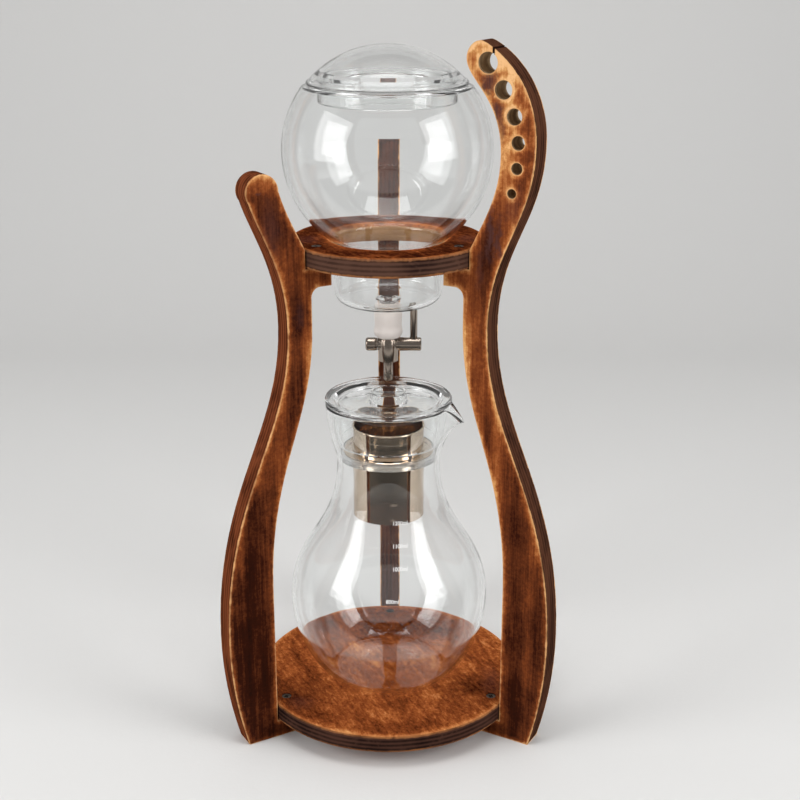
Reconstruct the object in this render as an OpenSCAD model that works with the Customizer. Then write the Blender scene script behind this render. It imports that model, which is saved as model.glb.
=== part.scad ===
// Cold drip coffee tower. A three-legged wooden stand carries a glass globe with a drip valve
// above a glass carafe, in whose neck hangs a steel filter cup. Millimetres, Z up, the floor at
// Z = 0 and the drip axis on Z. The tall leg with the row of holes is the front right one.

/* [Plates] */
// Radius of the base plate
base_plate_r = 88.6; // [84:0.2:94]
// Radius of the upper plate
upper_plate_r = 60.6; // [58:0.2:63]
// Thickness of both plates
plate_t = 12; // [9:0.5:15]
// Height from the top of the base plate to the top of the upper plate
plates_apart = 304; // [302:1:330]
// Radius of the hole that the globe sits in
globe_hole_r = 35.5; // [35.1:0.1:36.5]
// Width of the chamfer around that hole
seat_chamfer = 2; // [1:0.25:3]
// Width of the broken edges of the plates
plate_edge = 0.8; // [0.3:0.1:1.5]

/* [Legs] */
// Thickness of the leg boards
board_t = 15; // [11:0.5:18]
// Radius from the axis to the tip of a foot
foot_r = 110; // [104:1:116]
// Radius and height of the outermost point of the legs
belly_r = 121; // [116:1:128]
// Height of that point
belly_z = 78; // [65:1:95]
// Radius of the inner edge at the waist
waist_r = 57.3; // [54:0.1:59.5]
// Width of the board at the waist
waist_w = 16.5; // [13:0.5:20]
// Height from the waist to the underside of the upper plate
waist_drop = 37; // [30:1:44]
// Thickness of the tongue under the base plate, and so the height of that plate's underside
base_tongue_t = 12; // [9:0.5:16]
// Radius at which the tongue under the base plate ends
base_tongue_end_r = 68; // [62:1:73]
// Thickness of the tongue under the upper plate
tongue_t = 12; // [8:0.5:15]
// Radius at which the tongue under the upper plate ends
tongue_end_r = 43.5; // [42:0.5:45]
// Fillet below that tongue
tongue_fillet_r = 6; // [3:0.5:8]
// Gap between the plates' rims and the legs
plate_gap = 0.4; // [0.2:0.1:1]

/* [Hook of the tall leg] */
// Height of the tall leg's top over the upper plate
hook_rise = 122; // [116:1:130]
// Radius of the topmost point
hook_top_r = 66; // [64:0.5:70]
// Radius of the point of the hook nearest to the axis
nose_r = 57; // [55:0.5:60]
// Drop from the top to that point
nose_drop = 10; // [8:0.5:13]
// Largest radius of the hook's outer edge
crown_r = 102.4; // [98:0.2:106]
// Width of the board there
crown_w = 22.2; // [19:0.2:25]
// Height of the outer edge's crown over the upper plate
crown_rise = 65; // [60:1:70]
// How much lower the inner edge's crown is
crown_skew = 7; // [0:0.5:12]
// Number of holes in the hook
hook_holes = 6; // [1:1:6]
// Diameter of the first, topmost hole
hook_hole_d = 12.2; // [10:0.1:13]
// Each next hole is smaller by this
hook_hole_step = 1.3; // [0.8:0.1:1.5]
// Height from one hole to the next
hook_hole_pitch = 14.7; // [14:0.1:16]
// Drop from the top of the hook to the first hole
first_hole_drop = 12.2; // [11:0.1:14]
// Width of the saw slit from the top edge into the first hole
slit_w = 0.8; // [0.4:0.1:1.5]

/* [Short legs] */
// Height of the centre of a short leg's round end over the upper plate
short_rise = 37; // [30:1:44]

/* [Screws] */
// Radius of the screw circle in the base plate
base_screw_r = 79; // [76:0.5:82]
// Radius of the screw circle in the upper plate
upper_screw_r = 50; // [49:0.5:52]
// Radius of a screw's head
screw_head_r = 3.2; // [2.5:0.1:4]
// Radius of a screw's shank
screw_r = 1.75; // [1.2:0.05:2.2]
// Length of a screw
screw_l = 21; // [16:0.5:22]
// Depth of the heads below the plates' faces
screw_sink = 0.4; // [0.1:0.1:1]
// Clearance of the screws in the wood
screw_play = 0.04; // [0.02:0.01:0.1]

/* [Globe] */
// Outer radius of the glass globe
globe_r = 65; // [62:0.5:67]
// Glass thickness of the globe
globe_wall = 2.4; // [1.8:0.1:3]
// Gap between the globe and the chamfer that it sits on
seat_gap = 0.3; // [0.2:0.1:0.5]
// Radius of the globe's mouth
mouth_r = 43.2; // [42.8:0.1:44]
// Height of the flat mouth rim over the globe's centre
mouth_rise = 39.5; // [37:0.5:42]
// Outer radius of the chamber under the globe
chamber_r = 34; // [32:0.1:34.4]
// How far the chamber hangs below the upper plate
chamber_drop = 29.5; // [25:0.5:33]
// Corner radius at the bottom of the chamber
chamber_corner = 8; // [4:0.5:10]
// Outer radius of the outlet tube
outlet_r = 5.5; // [5:0.1:6.5]
// Length of the outlet tube below the chamber
outlet_l = 14; // [11:0.5:14.5]
// Flare of the outlet tube where it leaves the chamber
outlet_flare = 2.7; // [2:0.1:2.9]

/* [Globe lid] */
// Radius of the lid's rim
lid_rim_r = 49.2; // [48:0.2:50.4]
// Thickness of the lid's rim
lid_rim_t = 3.4; // [2.8:0.2:4]
// Height of the dome over the mouth rim
dome_h = 24.2; // [20:0.2:28]
// Glass thickness of the lid
lid_wall = 2.4; // [1.8:0.1:3]
// Gap between the lid's skirt and the globe's mouth
skirt_gap = 0.9; // [0.5:0.1:1.2]
// Depth of the lid's skirt below the mouth rim
skirt_h = 10.5; // [8:0.5:13]

/* [Drip valve] */
// Length of the silicone sleeve
sleeve_l = 20.5; // [19.5:0.5:22]
// Outer radius of the silicone sleeve
sleeve_r = 9.2; // [8.6:0.1:10]
// Gap between the chamber's underside and the sleeve
sleeve_drop = 3.1; // [3:0.1:4]
// Radius of the valve's body
valve_r = 6.2; // [5.8:0.1:7]
// Length of the valve's body below the sleeve
valve_l = 15.4; // [14.5:0.2:18]
// Radius of the valve's stem in the sleeve
stem_r = 4.5; // [4:0.1:5]
// Radius of the drip passage
passage_r = 1.4; // [1:0.1:1.6]
// Radius of the bosses, the handle bar and the nut on the plug's axis
bar_r = 4.3; // [4:0.1:4.7]
// How far the bosses reach from the drip axis
boss_reach = 6.8; // [6.5:0.1:7.5]
// Drop of the plug's axis below the top of the valve's body
plug_drop = 4.6; // [4.4:0.1:5.5]
// Radius of the turning plug
plug_r = 3; // [2.6:0.1:3.3]
// Running clearance around the plug
plug_play = 0.05; // [0.02:0.01:0.09]
// Length of the handle bar
bar_l = 14.2; // [12:0.2:16]
// Length of the retaining nut
nut_l = 6.8; // [5:0.2:9]
// Thickness of the washer under the nut
washer_t = 0.8; // [0.5:0.1:1.2]
// Play of the washer and of the bar beside the bosses
side_play = 0.2; // [0.1:0.05:0.4]
// Radius of the lever rod
lever_r = 2.35; // [1.8:0.05:2.6]
// Length of the lever rod from the plug's axis
lever_l = 24; // [18:0.5:25]
// Distance of the lever rod from the drip axis
lever_x = 16.3; // [14:0.1:18]
// Radius of the drip tip
tip_r = 2.9; // [2.4:0.1:3.4]
// Length of the drip tip below the valve's body
tip_l = 13.4; // [10:0.2:14]
// Radius of the section of the plug's seal rings
seal_r = 0.42; // [0.35:0.01:0.48]

/* [Carafe] */
// Radius of the carafe's foot
carafe_foot_r = 33.3; // [28:0.5:40]
// Largest outer radius of the carafe
carafe_belly_r = 66.3; // [62:0.5:68]
// Height of the belly over the base plate
carafe_belly_z = 57.7; // [50:0.5:65]
// Outer radius of the neck's waist
neck_r = 33.8; // [32.5:0.1:35]
// Height of the neck's waist over the base plate
neck_z = 156; // [150:0.5:160]
// Outer radius of the carafe's rim
rim_r = 41; // [40:0.2:42]
// Height of the rim over the neck's waist
rim_rise = 39.5; // [38:0.5:41]
// Glass thickness of the carafe
carafe_wall = 2.5; // [2:0.1:3]
// Reach of the spout's tip from the axis
spout_reach = 50; // [47:0.5:53]
// Drop of the spout's tip below the rim
spout_drop = 13; // [10:0.5:15]
// Radius of the spout's root
spout_root_r = 14; // [11:0.5:16]

/* [Carafe lid] */
// Radius of the lid
carafe_lid_r = 41.4; // [40.5:0.2:42.5]
// Thickness of the lid's rim
carafe_lid_t = 3.6; // [3:0.2:4.5]
// Outer radius of the drip collar
collar_r = 11.8; // [11:0.1:14]
// Height of the drip collar over the lid's rim
collar_h = 3.4; // [2:0.2:5]
// Depth of the dished top below the rim
dish_depth = 4; // [2:0.2:5]
// Glass thickness of the lid
carafe_lid_wall = 2.2; // [1.8:0.1:2.6]
// Outer radius of the lid's skirt
lid_skirt_r = 36; // [34:0.1:36.4]
// Depth of the lid's skirt below the rim of the carafe
lid_skirt_h = 26; // [20:0.5:27]
// Gap between the lid and the round rim that it lies on
lid_rest_gap = 0.1; // [0.05:0.05:0.3]

/* [Filter cup] */
// Outer radius of the filter cup
cup_r = 23.3; // [21:0.1:24.5]
// Height of the filter cup
cup_h = 62.5; // [55:0.5:66]
// Sheet thickness of the filter cup
cup_wall = 0.8; // [0.5:0.1:1.2]
// How far the cup stands above its flange
cup_above = 17; // [14:0.5:18.5]
// Radius of the cup's flange
flange_r = 30; // [28:0.1:30.8]
// Thickness of the flange
flange_t = 1.2; // [0.8:0.1:2]
// Height of the clear silicone seal under the flange
seal_h = 4.5; // [3:0.5:6]
// Gap between the seal and the glass
seal_gap = 0.3; // [0.2:0.05:0.4]
// Height of the seal's underside over the neck's waist
seal_rise = 2.5; // [2:0.5:4]
// Thickness of the perforated bottom
mesh_t = 1; // [0.6:0.1:1.5]
// Diameter of the holes in the bottom
mesh_hole_d = 1.8; // [1:0.1:2.4]
// Spacing of the rings of holes in the bottom
mesh_pitch = 4.2; // [3.6:0.1:4.6]

/* [Hidden] */
$fn = 96;
over = 1;                       // how far cutting shapes run past a face
wood = [0.55, 0.27, 0.13];
glass = [0.85, 0.93, 0.95, 0.35];
steel = [0.62, 0.60, 0.57];
silicone = [0.93, 0.92, 0.90];

// Azimuths of the legs, seen from above, counted from +X
left_az = 210;
right_az = 330;
rear_az = 90;

// Heights of the plates
base_top = base_tongue_t + plate_t;
upper_top = base_top + plates_apart;
upper_bottom = upper_top - plate_t;
tongue_bottom = upper_bottom - tongue_t;

// Lengths of the handles of the curves along the legs
curve_steps = 22;
foot_lean = [6, 22];
belly_down = 30;
belly_up = 102;
waist_down = 70;
waist_up = 52;
crown_down = 47;
crown_up = 41;
top_reach = 3;
nose_reach = 5;
nose_down = 12.5;
inner_crown_up = 33;
inner_crown_down = 22;
joint_lean = [10.7, 21.4];
inner_waist_down = 61;
inner_belly_up = 83;
inner_belly_z = 110;

waist_z = upper_bottom - waist_drop;
crown_z = upper_top + crown_rise;
hook_z = upper_top + hook_rise;
leg_in_r = base_plate_r + plate_gap;
joint_r = upper_plate_r + plate_gap;

// Globe and its lid
seat_r = globe_hole_r + seat_chamfer;
globe_z = upper_top + sqrt(pow(globe_r + seat_gap, 2) - pow(seat_r, 2));
mouth_z = globe_z + mouth_rise;
chamber_z = upper_bottom - chamber_drop;
blend_r = 2;                    // fillet between the globe and the chamber
lip_r = 3;                      // fillet between the globe and its mouth rim
blend_z = globe_z - sqrt(pow(globe_r + blend_r, 2) - pow(chamber_r + blend_r, 2));
blend_a = atan2(blend_z - globe_z, chamber_r + blend_r);
fused_z = blend_z - 3;          // where the ball is fused to the chamber
lip_x = sqrt(pow(globe_r - lip_r, 2) - pow(mouth_rise - lip_r, 2));
lip_a = atan2(mouth_rise - lip_r, lip_x);
skirt_r = mouth_r - skirt_gap;

// Drip valve, from the chamber down
sleeve_top = chamber_z - sleeve_drop;
valve_top = sleeve_top - sleeve_l - side_play;
plug_z = valve_top - plug_drop;
valve_bottom = valve_top - valve_l;
outlet_end = chamber_z - outlet_l;
stem_top = outlet_end - 0.5;
sleeve_play = 0.05;             // sleeve around the outlet tube and the stem
tip_play = 0.04;                // threads of the tip, the rod and the nut
spigot_r = 2.1;
spigot_l = 3;
thread_r = 2;                   // threaded end of the plug
seal_proud = 0.03;              // how far the seal rings stand out of the plug
groove_r = plug_r - 2 * seal_r + 0.02;
groove_w = 2.4 * seal_r;
seal_x = boss_reach - 2;        // place of the seal rings along the plug
rod_hole_r = 1.5;
nut_face = boss_reach + side_play + washer_t;
nut_cap = 1;                    // closed end of the nut

// Carafe, from the base plate up
foot_z = base_top;
carafe_waist = base_top + neck_z;
carafe_rim = carafe_waist + rim_rise;
carafe_steps = 28;
foot_spread = 15;
foot_ring = 4;                  // width of the flat ring that the carafe stands on
punt_bend = 4;
rim_lean = 0.8;                 // how far the flare still opens below the rim
carafe_belly_down = 27;
carafe_belly_up = 42;
neck_down = 51;
neck_up = 7;
rim_down = 24;
punt_h = 1.6;                   // rise of the carafe's underside in the middle
bead_r = carafe_wall / 2;       // round of the glass rims

// Filter cup, from the neck's waist up
seal_z = carafe_waist + seal_rise;
flange_z = seal_z + seal_h;
cup_top = flange_z + cup_above;
cup_z = cup_top - cup_h;
cup_in_r = cup_r - cup_wall;
flange_play = 0.05;

// ---- curves ----

// Points of a cubic curve from a to d, without its first point
function bez(a, b, c, d, n) =
    [for (i = [1:n]) let (t = i / n, u = 1 - t)
        u * u * u * a + 3 * u * u * t * b + 3 * u * t * t * c + t * t * t * d];

// Points of an arc round c, from angle a to angle b
function arc(c, r, a, b, n) =
    [for (i = [0:n]) let (w = a + (b - a) * i / n) c + r * [cos(w), sin(w)]];

function reversed(list) = [for (i = [len(list) - 1:-1:0]) list[i]];

function left_of(v) = [-v[1], v[0]] / norm(v);

// A line beside the given one, at distance t to its left
function beside(path, t) =
    [for (i = [0:len(path) - 1])
        path[i] + t * left_of(path[min(i + 1, len(path) - 1)] - path[max(i - 1, 0)])];

// Outline of a glass wall whose outer face follows the path
function walled(path, t) = concat(path, reversed(beside(path, t)));

// Radius of an edge, given as [radius, height] points that climb, at a height
function edge_at(path, z) = lookup(z, [for (p = path) [p[1], p[0]]]);

// ---- leg outline, as [radius, height] ----

outer_low = concat(
    [[foot_r, 0]],
    bez([foot_r, 0], [foot_r, 0] + foot_lean, [belly_r, belly_z - belly_down],
        [belly_r, belly_z], curve_steps / 2),
    bez([belly_r, belly_z], [belly_r, belly_z + belly_up],
        [waist_r + waist_w, waist_z - waist_down], [waist_r + waist_w, waist_z], curve_steps));

outer_high = concat(
    bez([waist_r + waist_w, waist_z], [waist_r + waist_w, waist_z + waist_up],
        [crown_r, crown_z - crown_down], [crown_r, crown_z], curve_steps),
    bez([crown_r, crown_z], [crown_r, crown_z + crown_up],
        [hook_top_r + top_reach, hook_z], [hook_top_r, hook_z], curve_steps));

nose = [nose_r, hook_z - nose_drop];
inner_crown = [crown_r - crown_w, crown_z - crown_skew];

nose_edge = bez([hook_top_r, hook_z], [hook_top_r - nose_reach, hook_z],
                nose + [0, nose_reach], nose, curve_steps / 2);

inner_high = concat(
    bez(nose, nose - [0, nose_down], inner_crown + [0, inner_crown_up], inner_crown,
        curve_steps),
    bez(inner_crown, inner_crown - [0, inner_crown_down], [joint_r, upper_top] + joint_lean,
        [joint_r, upper_top], curve_steps / 2));

upper_tongue = concat(
    [[joint_r, upper_bottom], [tongue_end_r, upper_bottom], [tongue_end_r, tongue_bottom]],
    arc([waist_r - tongue_fillet_r, tongue_bottom - tongue_fillet_r], tongue_fillet_r, 90, 0, 6));

inner_low = concat(
    [[waist_r, waist_z]],
    bez([waist_r, waist_z], [waist_r, waist_z - inner_waist_down],
        [leg_in_r, inner_belly_z + inner_belly_up], [leg_in_r, inner_belly_z], curve_steps));

base_tongue = [[leg_in_r, base_tongue_t], [base_tongue_end_r, base_tongue_t],
               [base_tongue_end_r, 0]];

module tall_outline() {
    polygon(concat(outer_low, outer_high, nose_edge, inner_high, upper_tongue, inner_low,
                   base_tongue));
}

// A short leg is the tall one cut off and rounded
module short_outline() {
    z = upper_top + short_rise;
    outside = edge_at(outer_high, z);
    inside = edge_at(reversed(inner_high), z);
    intersection() {
        tall_outline();
        square([2 * belly_r, z]);
    }
    translate([(outside + inside) / 2, z]) circle(r = (outside - inside) / 2);
}

// Stands an outline of [radius, height] upright along an azimuth
module board(az) {
    rotate([0, 0, az]) rotate([90, 0, 0])
        linear_extrude(board_t, center = true) children();
}

// ---- screws ----

// One countersunk screw with its head's top at Z = 0, or its hole when play is given
module screw(play = 0) {
    head = screw_head_r + play;
    shank = screw_r + play;
    point_l = 3;
    rotate_extrude()
        polygon([[0, 0], [head, 0], [shank, -(head - shank)], [shank, point_l - screw_l],
                 [0, -screw_l - play]]);
}

module screw_ring(r, z, play = 0) {
    for (az = [left_az, right_az, rear_az])
        rotate([0, 0, az]) translate([r, 0, z - screw_sink]) {
            screw(play);
            if (play > 0) cylinder(r = screw_head_r + play, h = screw_sink + over);
        }
}

module driven_screws(r, z) {
    recess_w = 0.9;
    recess_l = 3.4;
    recess_h = 1.2;
    difference() {
        screw_ring(r, z);
        for (az = [left_az, right_az, rear_az])
            rotate([0, 0, az]) translate([r, 0, z - screw_sink]) {
                cube([recess_l, recess_w, 2 * recess_h], center = true);
                cube([recess_w, recess_l, 2 * recess_h], center = true);
            }
    }
}

// ---- wooden stand ----

// A disc with broken edges from z up
module disc(r, z) {
    rotate_extrude()
        polygon([[0, z], [r - plate_edge, z], [r, z + plate_edge],
                 [r, z + plate_t - plate_edge], [r - plate_edge, z + plate_t],
                 [0, z + plate_t]]);
}

module base_plate() {
    color(wood) difference() {
        disc(base_plate_r, base_tongue_t);
        screw_ring(base_screw_r, base_top, screw_play);
    }
}

module upper_plate() {
    color(wood) difference() {
        disc(upper_plate_r, upper_bottom);
        translate([0, 0, upper_bottom - over]) cylinder(r = globe_hole_r, h = plate_t + 2 * over);
        translate([0, 0, upper_top - seat_chamfer])
            cylinder(r1 = globe_hole_r, r2 = seat_r + over, h = seat_chamfer + over);
        screw_ring(upper_screw_r, upper_top, screw_play);
    }
}

module leg(az) {
    color(wood) difference() {
        board(az) children();
        screw_ring(base_screw_r, base_top, screw_play);
        screw_ring(upper_screw_r, upper_top, screw_play);
    }
}

module leg_left() {
    leg(left_az) short_outline();
}

module leg_rear() {
    leg(rear_az) short_outline();
}

module leg_right() {
    inner = reversed(concat([nose], inner_high));
    leg(right_az) difference() {
        tall_outline();
        for (i = [0:hook_holes - 1]) {
            z = hook_z - first_hole_drop - i * hook_hole_pitch;
            r = (edge_at(outer_high, z) + edge_at(inner, z)) / 2;
            d = hook_hole_d - i * hook_hole_step;
            translate([r, z]) circle(d = d);
            slit_x = r + d / 4;
            if (i == 0) translate([slit_x, z]) square([slit_w, first_hole_drop + over]);
        }
    }
}

module base_screws() {
    color(steel) driven_screws(base_screw_r, base_top);
}

module upper_screws() {
    color(steel) driven_screws(upper_screw_r, upper_top);
}

// ---- globe and its lid ----

module globe() {
    blend = [chamber_r + blend_r, blend_z];
    lip = [lip_x, mouth_z - lip_r];
    outside = concat(
        [[chamber_r, fused_z]],
        arc(blend, blend_r, 180, 180 + blend_a, 5),
        arc([0, globe_z], globe_r, blend_a, lip_a, 64),
        arc(lip, lip_r, lip_a, 90, 5),
        [[mouth_r, mouth_z]]);
    color(glass) rotate_extrude() polygon(walled(outside, globe_wall));
}

module globe_chamber() {
    flare = [outlet_r + outlet_flare, chamber_z - outlet_flare];
    corner = [chamber_r - chamber_corner, chamber_z + chamber_corner];
    outside = concat(
        [[outlet_r, outlet_end]],
        arc(flare, outlet_flare, 180, 90, 8),
        arc(corner, chamber_corner, -90, 0, 12),
        [[chamber_r, fused_z]]);
    color(glass) rotate_extrude() polygon(walled(outside, globe_wall));
}

module globe_lid() {
    dome_top = mouth_z + dome_h;
    bead = lid_rim_t / 2;
    dome_z = mouth_z + lid_rim_t;
    base = lid_rim_r - bead;
    height = dome_top - dome_z;
    dome_r = (base * base + height * height) / (2 * height);
    centre = [0, dome_top - dome_r];
    in_r = dome_r - lid_wall;
    skirt_in = skirt_r - lid_wall;
    color(glass) rotate_extrude() polygon(concat(
        arc(centre, dome_r, 90, asin((dome_z - centre[1]) / dome_r), 28),
        arc([base, mouth_z + bead], bead, 60, -90, 8),
        [[skirt_r, mouth_z]],
        arc([skirt_r - lid_wall / 2, mouth_z - skirt_h + lid_wall / 2], lid_wall / 2, 0, -180, 8),
        arc(centre, in_r, acos(skirt_in / in_r), 90, 24)));
}

// ---- drip valve ----

// A cylinder along X from a to b
module along_x(r, a, b) {
    translate([a, 0, plug_z]) rotate([0, 90, 0]) cylinder(r = r, h = b - a);
}

module silicone_sleeve() {
    low = sleeve_top - sleeve_l;
    waist = [sleeve_r - 0.6, low + 9];
    bulge = [sleeve_r, low + 4];    // ring round its lower end
    shoulder = [sleeve_r - 1.8, sleeve_top];
    hem = [sleeve_r - 3.2, low];
    bend = 2;                       // length of the handles of its curves
    bore = outlet_r + sleeve_play;
    stem = stem_r + sleeve_play;
    color(silicone) rotate_extrude() polygon(concat(
        [[bore, sleeve_top], shoulder],
        bez(shoulder, [sleeve_r, sleeve_top - bend / 2], [sleeve_r, sleeve_top - 2 * bend],
            waist, 8),
        bez(waist, waist - [0, 1.5 * bend], bulge + [0, bend], bulge, 6),
        bez(bulge, bulge - [0, bend], hem + [bend, 0], hem, 6),
        [[stem, low], [stem, outlet_end], [bore, outlet_end]]));
}

module valve_body() {
    collar_t = 1.4;
    collar_in = 0.7;
    boss_r = bar_r - 0.3;
    spigot = spigot_r + tip_play;
    color(steel) difference() {
        union() {
            translate([0, 0, valve_bottom]) cylinder(r = valve_r, h = valve_l - collar_t);
            translate([0, 0, valve_top - collar_t])
                cylinder(r1 = valve_r, r2 = valve_r - collar_in, h = collar_t);
            translate([0, 0, valve_top - over]) cylinder(r = stem_r, h = stem_top - valve_top + over);
            along_x(boss_r, -boss_reach, boss_reach);
        }
        translate([0, 0, valve_bottom - over])
            cylinder(r = passage_r, h = stem_top - valve_bottom + 2 * over);
        translate([0, 0, valve_bottom - over]) cylinder(r = spigot, h = spigot_l + over);
        along_x(plug_r + plug_play, -boss_reach - over, boss_reach + over);
    }
}

module valve_plug() {
    bar_x = boss_reach + side_play;
    chamfer = 0.6;
    end_x = -nut_face - nut_l + nut_cap + 0.2;
    color(steel) difference() {
        union() {
            along_x(plug_r, -boss_reach, bar_x);
            along_x(thread_r, end_x, -boss_reach);
            along_x(bar_r, bar_x, bar_x + bar_l - chamfer);
            translate([bar_x + bar_l - chamfer, 0, plug_z]) rotate([0, 90, 0])
                cylinder(r1 = bar_r, r2 = bar_r - chamfer, h = chamfer);
        }
        translate([0, 0, plug_z - plug_r - over]) cylinder(r = passage_r, h = 2 * (plug_r + over));
        for (side = [-1, 1]) translate([side * seal_x, 0, plug_z]) rotate([0, 90, 0])
            difference() {
                cylinder(r = plug_r + over, h = groove_w, center = true);
                cylinder(r = groove_r, h = groove_w + over, center = true);
            }
        translate([lever_x, 0, plug_z]) cylinder(r = rod_hole_r + tip_play, h = bar_r + over);
    }
}

module plug_seals() {
    color(silicone) for (side = [-1, 1])
        translate([side * seal_x, 0, plug_z]) rotate([0, 90, 0])
            rotate_extrude() translate([plug_r + seal_proud - seal_r, 0]) circle(r = seal_r, $fn = 24);
}

module lever_rod() {
    neck = sqrt(bar_r * bar_r - lever_r * lever_r);
    round = 0.7;
    root = 0.1;
    color(steel) translate([lever_x, 0, plug_z]) {
        translate([0, 0, root]) cylinder(r = rod_hole_r, h = bar_r);
        difference() {
            translate([0, 0, neck]) cylinder(r = lever_r, h = lever_l - neck - round);
            translate([-lever_r - over, 0, 0]) rotate([0, 90, 0])
                cylinder(r = bar_r, h = 2 * (lever_r + over));
        }
        translate([0, 0, lever_l - round]) cylinder(r1 = lever_r, r2 = lever_r - round, h = round);
    }
}

module nut_washer() {
    outer = -nut_face;
    washer_r = bar_r - 0.2;
    color(steel) difference() {
        along_x(washer_r, outer, outer + washer_t);
        along_x(thread_r + tip_play, outer - over, outer + washer_t + over);
    }
}

module retaining_nut() {
    round = 1.8;
    chamfer = 0.4;
    color(steel) difference() {
        translate([-nut_face, 0, plug_z]) rotate([0, -90, 0]) rotate_extrude()
            polygon(concat([[0, 0], [bar_r - chamfer, 0], [bar_r, chamfer]],
                           arc([bar_r - round, nut_l - round], round, 0, 90, 8), [[0, nut_l]]));
        along_x(thread_r + tip_play, -nut_face - nut_l + nut_cap, -nut_face + over);
    }
}

module drip_tip() {
    chamfer_h = 0.8;
    chamfer_w = 0.5;
    free = 0.1;                     // the spigot ends this far before its hole does
    bore = passage_r - 0.2;
    low = valve_bottom - tip_l;
    color(steel) difference() {
        union() {
            translate([0, 0, low + chamfer_h]) cylinder(r = tip_r, h = tip_l - chamfer_h);
            translate([0, 0, low]) cylinder(r1 = tip_r - chamfer_w, r2 = tip_r, h = chamfer_h);
            translate([0, 0, valve_bottom - over])
                cylinder(r = spigot_r, h = spigot_l + over - free);
        }
        translate([0, 0, low - over]) cylinder(r = bore, h = tip_l + spigot_l + 2 * over);
    }
}

// ---- carafe ----

carafe_neck_path = bez([neck_r, carafe_waist], [neck_r, carafe_waist + neck_up],
                       [rim_r - rim_lean, carafe_rim - rim_down], [rim_r, carafe_rim - bead_r],
                       carafe_steps / 2);

carafe_path = concat(
    [[0, foot_z + punt_h]],
    bez([0, foot_z + punt_h], [carafe_foot_r / 2, foot_z + punt_h],
        [carafe_foot_r - foot_ring - punt_bend, foot_z], [carafe_foot_r - foot_ring, foot_z], 8),
    [[carafe_foot_r, foot_z]],
    bez([carafe_foot_r, foot_z], [carafe_foot_r + foot_spread, foot_z],
        [carafe_belly_r, foot_z + carafe_belly_z - carafe_belly_down],
        [carafe_belly_r, foot_z + carafe_belly_z], carafe_steps),
    bez([carafe_belly_r, foot_z + carafe_belly_z],
        [carafe_belly_r, foot_z + carafe_belly_z + carafe_belly_up],
        [neck_r, carafe_waist - neck_down], [neck_r, carafe_waist], carafe_steps),
    carafe_neck_path);

carafe_in_path = beside(carafe_path, carafe_wall);

// Inner radius of the glass above the waist
function throat_r(z) = edge_at([for (p = carafe_in_path) if (p[1] > carafe_waist - 1) p], z);

// The spout's outer shape, or the space inside it when wall is given
module beak(wall = 0) {
    deep = 20;
    tip = 2.6;
    ball = tip - wall * 0.6;
    hull() {
        translate([rim_r - spout_root_r, 0, carafe_rim - deep + wall])
            cylinder(r = spout_root_r - wall, h = deep - wall + (wall > 0 ? over : 0), $fn = 32);
        translate([spout_reach - tip, 0, carafe_rim - spout_drop])
            sphere(r = ball, $fn = 24);
        if (wall > 0) translate([spout_reach - tip + over, 0, carafe_rim + over])
            cylinder(r = ball, h = over, $fn = 24);
    }
}

// Everything inside the glass, from the belly up
module carafe_hollow() {
    above = [for (p = carafe_in_path) if (p[1] > foot_z + carafe_belly_z) p];
    rotate_extrude() polygon(concat(
        [[0, above[0][1]]], above,
        [[above[len(above) - 1][0], carafe_rim + over], [0, carafe_rim + over]]));
}

module carafe() {
    rim_c = [rim_r - bead_r, carafe_rim - bead_r];
    color(glass) {
        difference() {
            union() {
                rotate_extrude() polygon(concat(
                    carafe_path, arc(rim_c, bead_r, 0, 180, 8), reversed(carafe_in_path)));
                difference() {
                    beak();
                    carafe_hollow();
                }
            }
            beak(carafe_wall);
        }
    }
}

// ---- carafe lid ----

module carafe_lid() {
    base = carafe_rim + lid_rest_gap;
    top = base + carafe_lid_t;
    bead = carafe_lid_t / 2;
    wall = carafe_lid_wall;
    skirt_low = base - lid_skirt_h;
    skirt_bend = 6;
    skirt_low_r = lid_skirt_r - 2.4;
    skirt = concat([[lid_skirt_r, base]],
                   bez([lid_skirt_r, base], [lid_skirt_r, skirt_low + 2 * skirt_bend],
                       [lid_skirt_r - 0.6, skirt_low + skirt_bend], [skirt_low_r, skirt_low],
                       10));
    skirt_in = beside(skirt, -wall);
    shoulder = 1.2;                 // chamfer between the plate of the lid and its skirt
    collar_top = top + collar_h;
    dish_top = top - dish_depth;
    hole_r = collar_r - wall;
    bead_c = collar_top - wall / 2;
    inset = 5;
    dish_bend = 9;
    fillet = 1;
    color(glass) rotate_extrude() polygon(concat(
        arc([carafe_lid_r - bead, base + bead], bead, -90, 90, 10),
        bez([carafe_lid_r - bead, top], [carafe_lid_r - inset, top],
            [collar_r + dish_bend, dish_top], [collar_r + fillet, dish_top], 10),
        [[collar_r, dish_top + fillet]],
        arc([collar_r - wall / 2, bead_c], wall / 2, 0, 180, 8),
        [[hole_r, dish_top - wall], [collar_r + fillet, dish_top - wall]],
        [[skirt_in[0][0] - inset, base - shoulder], [skirt_in[0][0], base - 2 * shoulder]],
        [for (p = skirt_in) if (p[1] < base - 2.5 * shoulder) p],
        reversed(skirt)));
}

// ---- filter cup ----

module filter_cup() {
    roll = 1.3;                     // thickness of the rolled rim
    roll_r = cup_in_r + roll / 2;
    color(steel) rotate_extrude() polygon(concat(
        [[cup_r, cup_z], [cup_r, cup_top - roll]],
        arc([roll_r, cup_top - roll / 2], roll / 2, -60, 180, 10),
        [[cup_in_r, cup_top - roll], [cup_in_r, cup_z]]));
}

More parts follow.
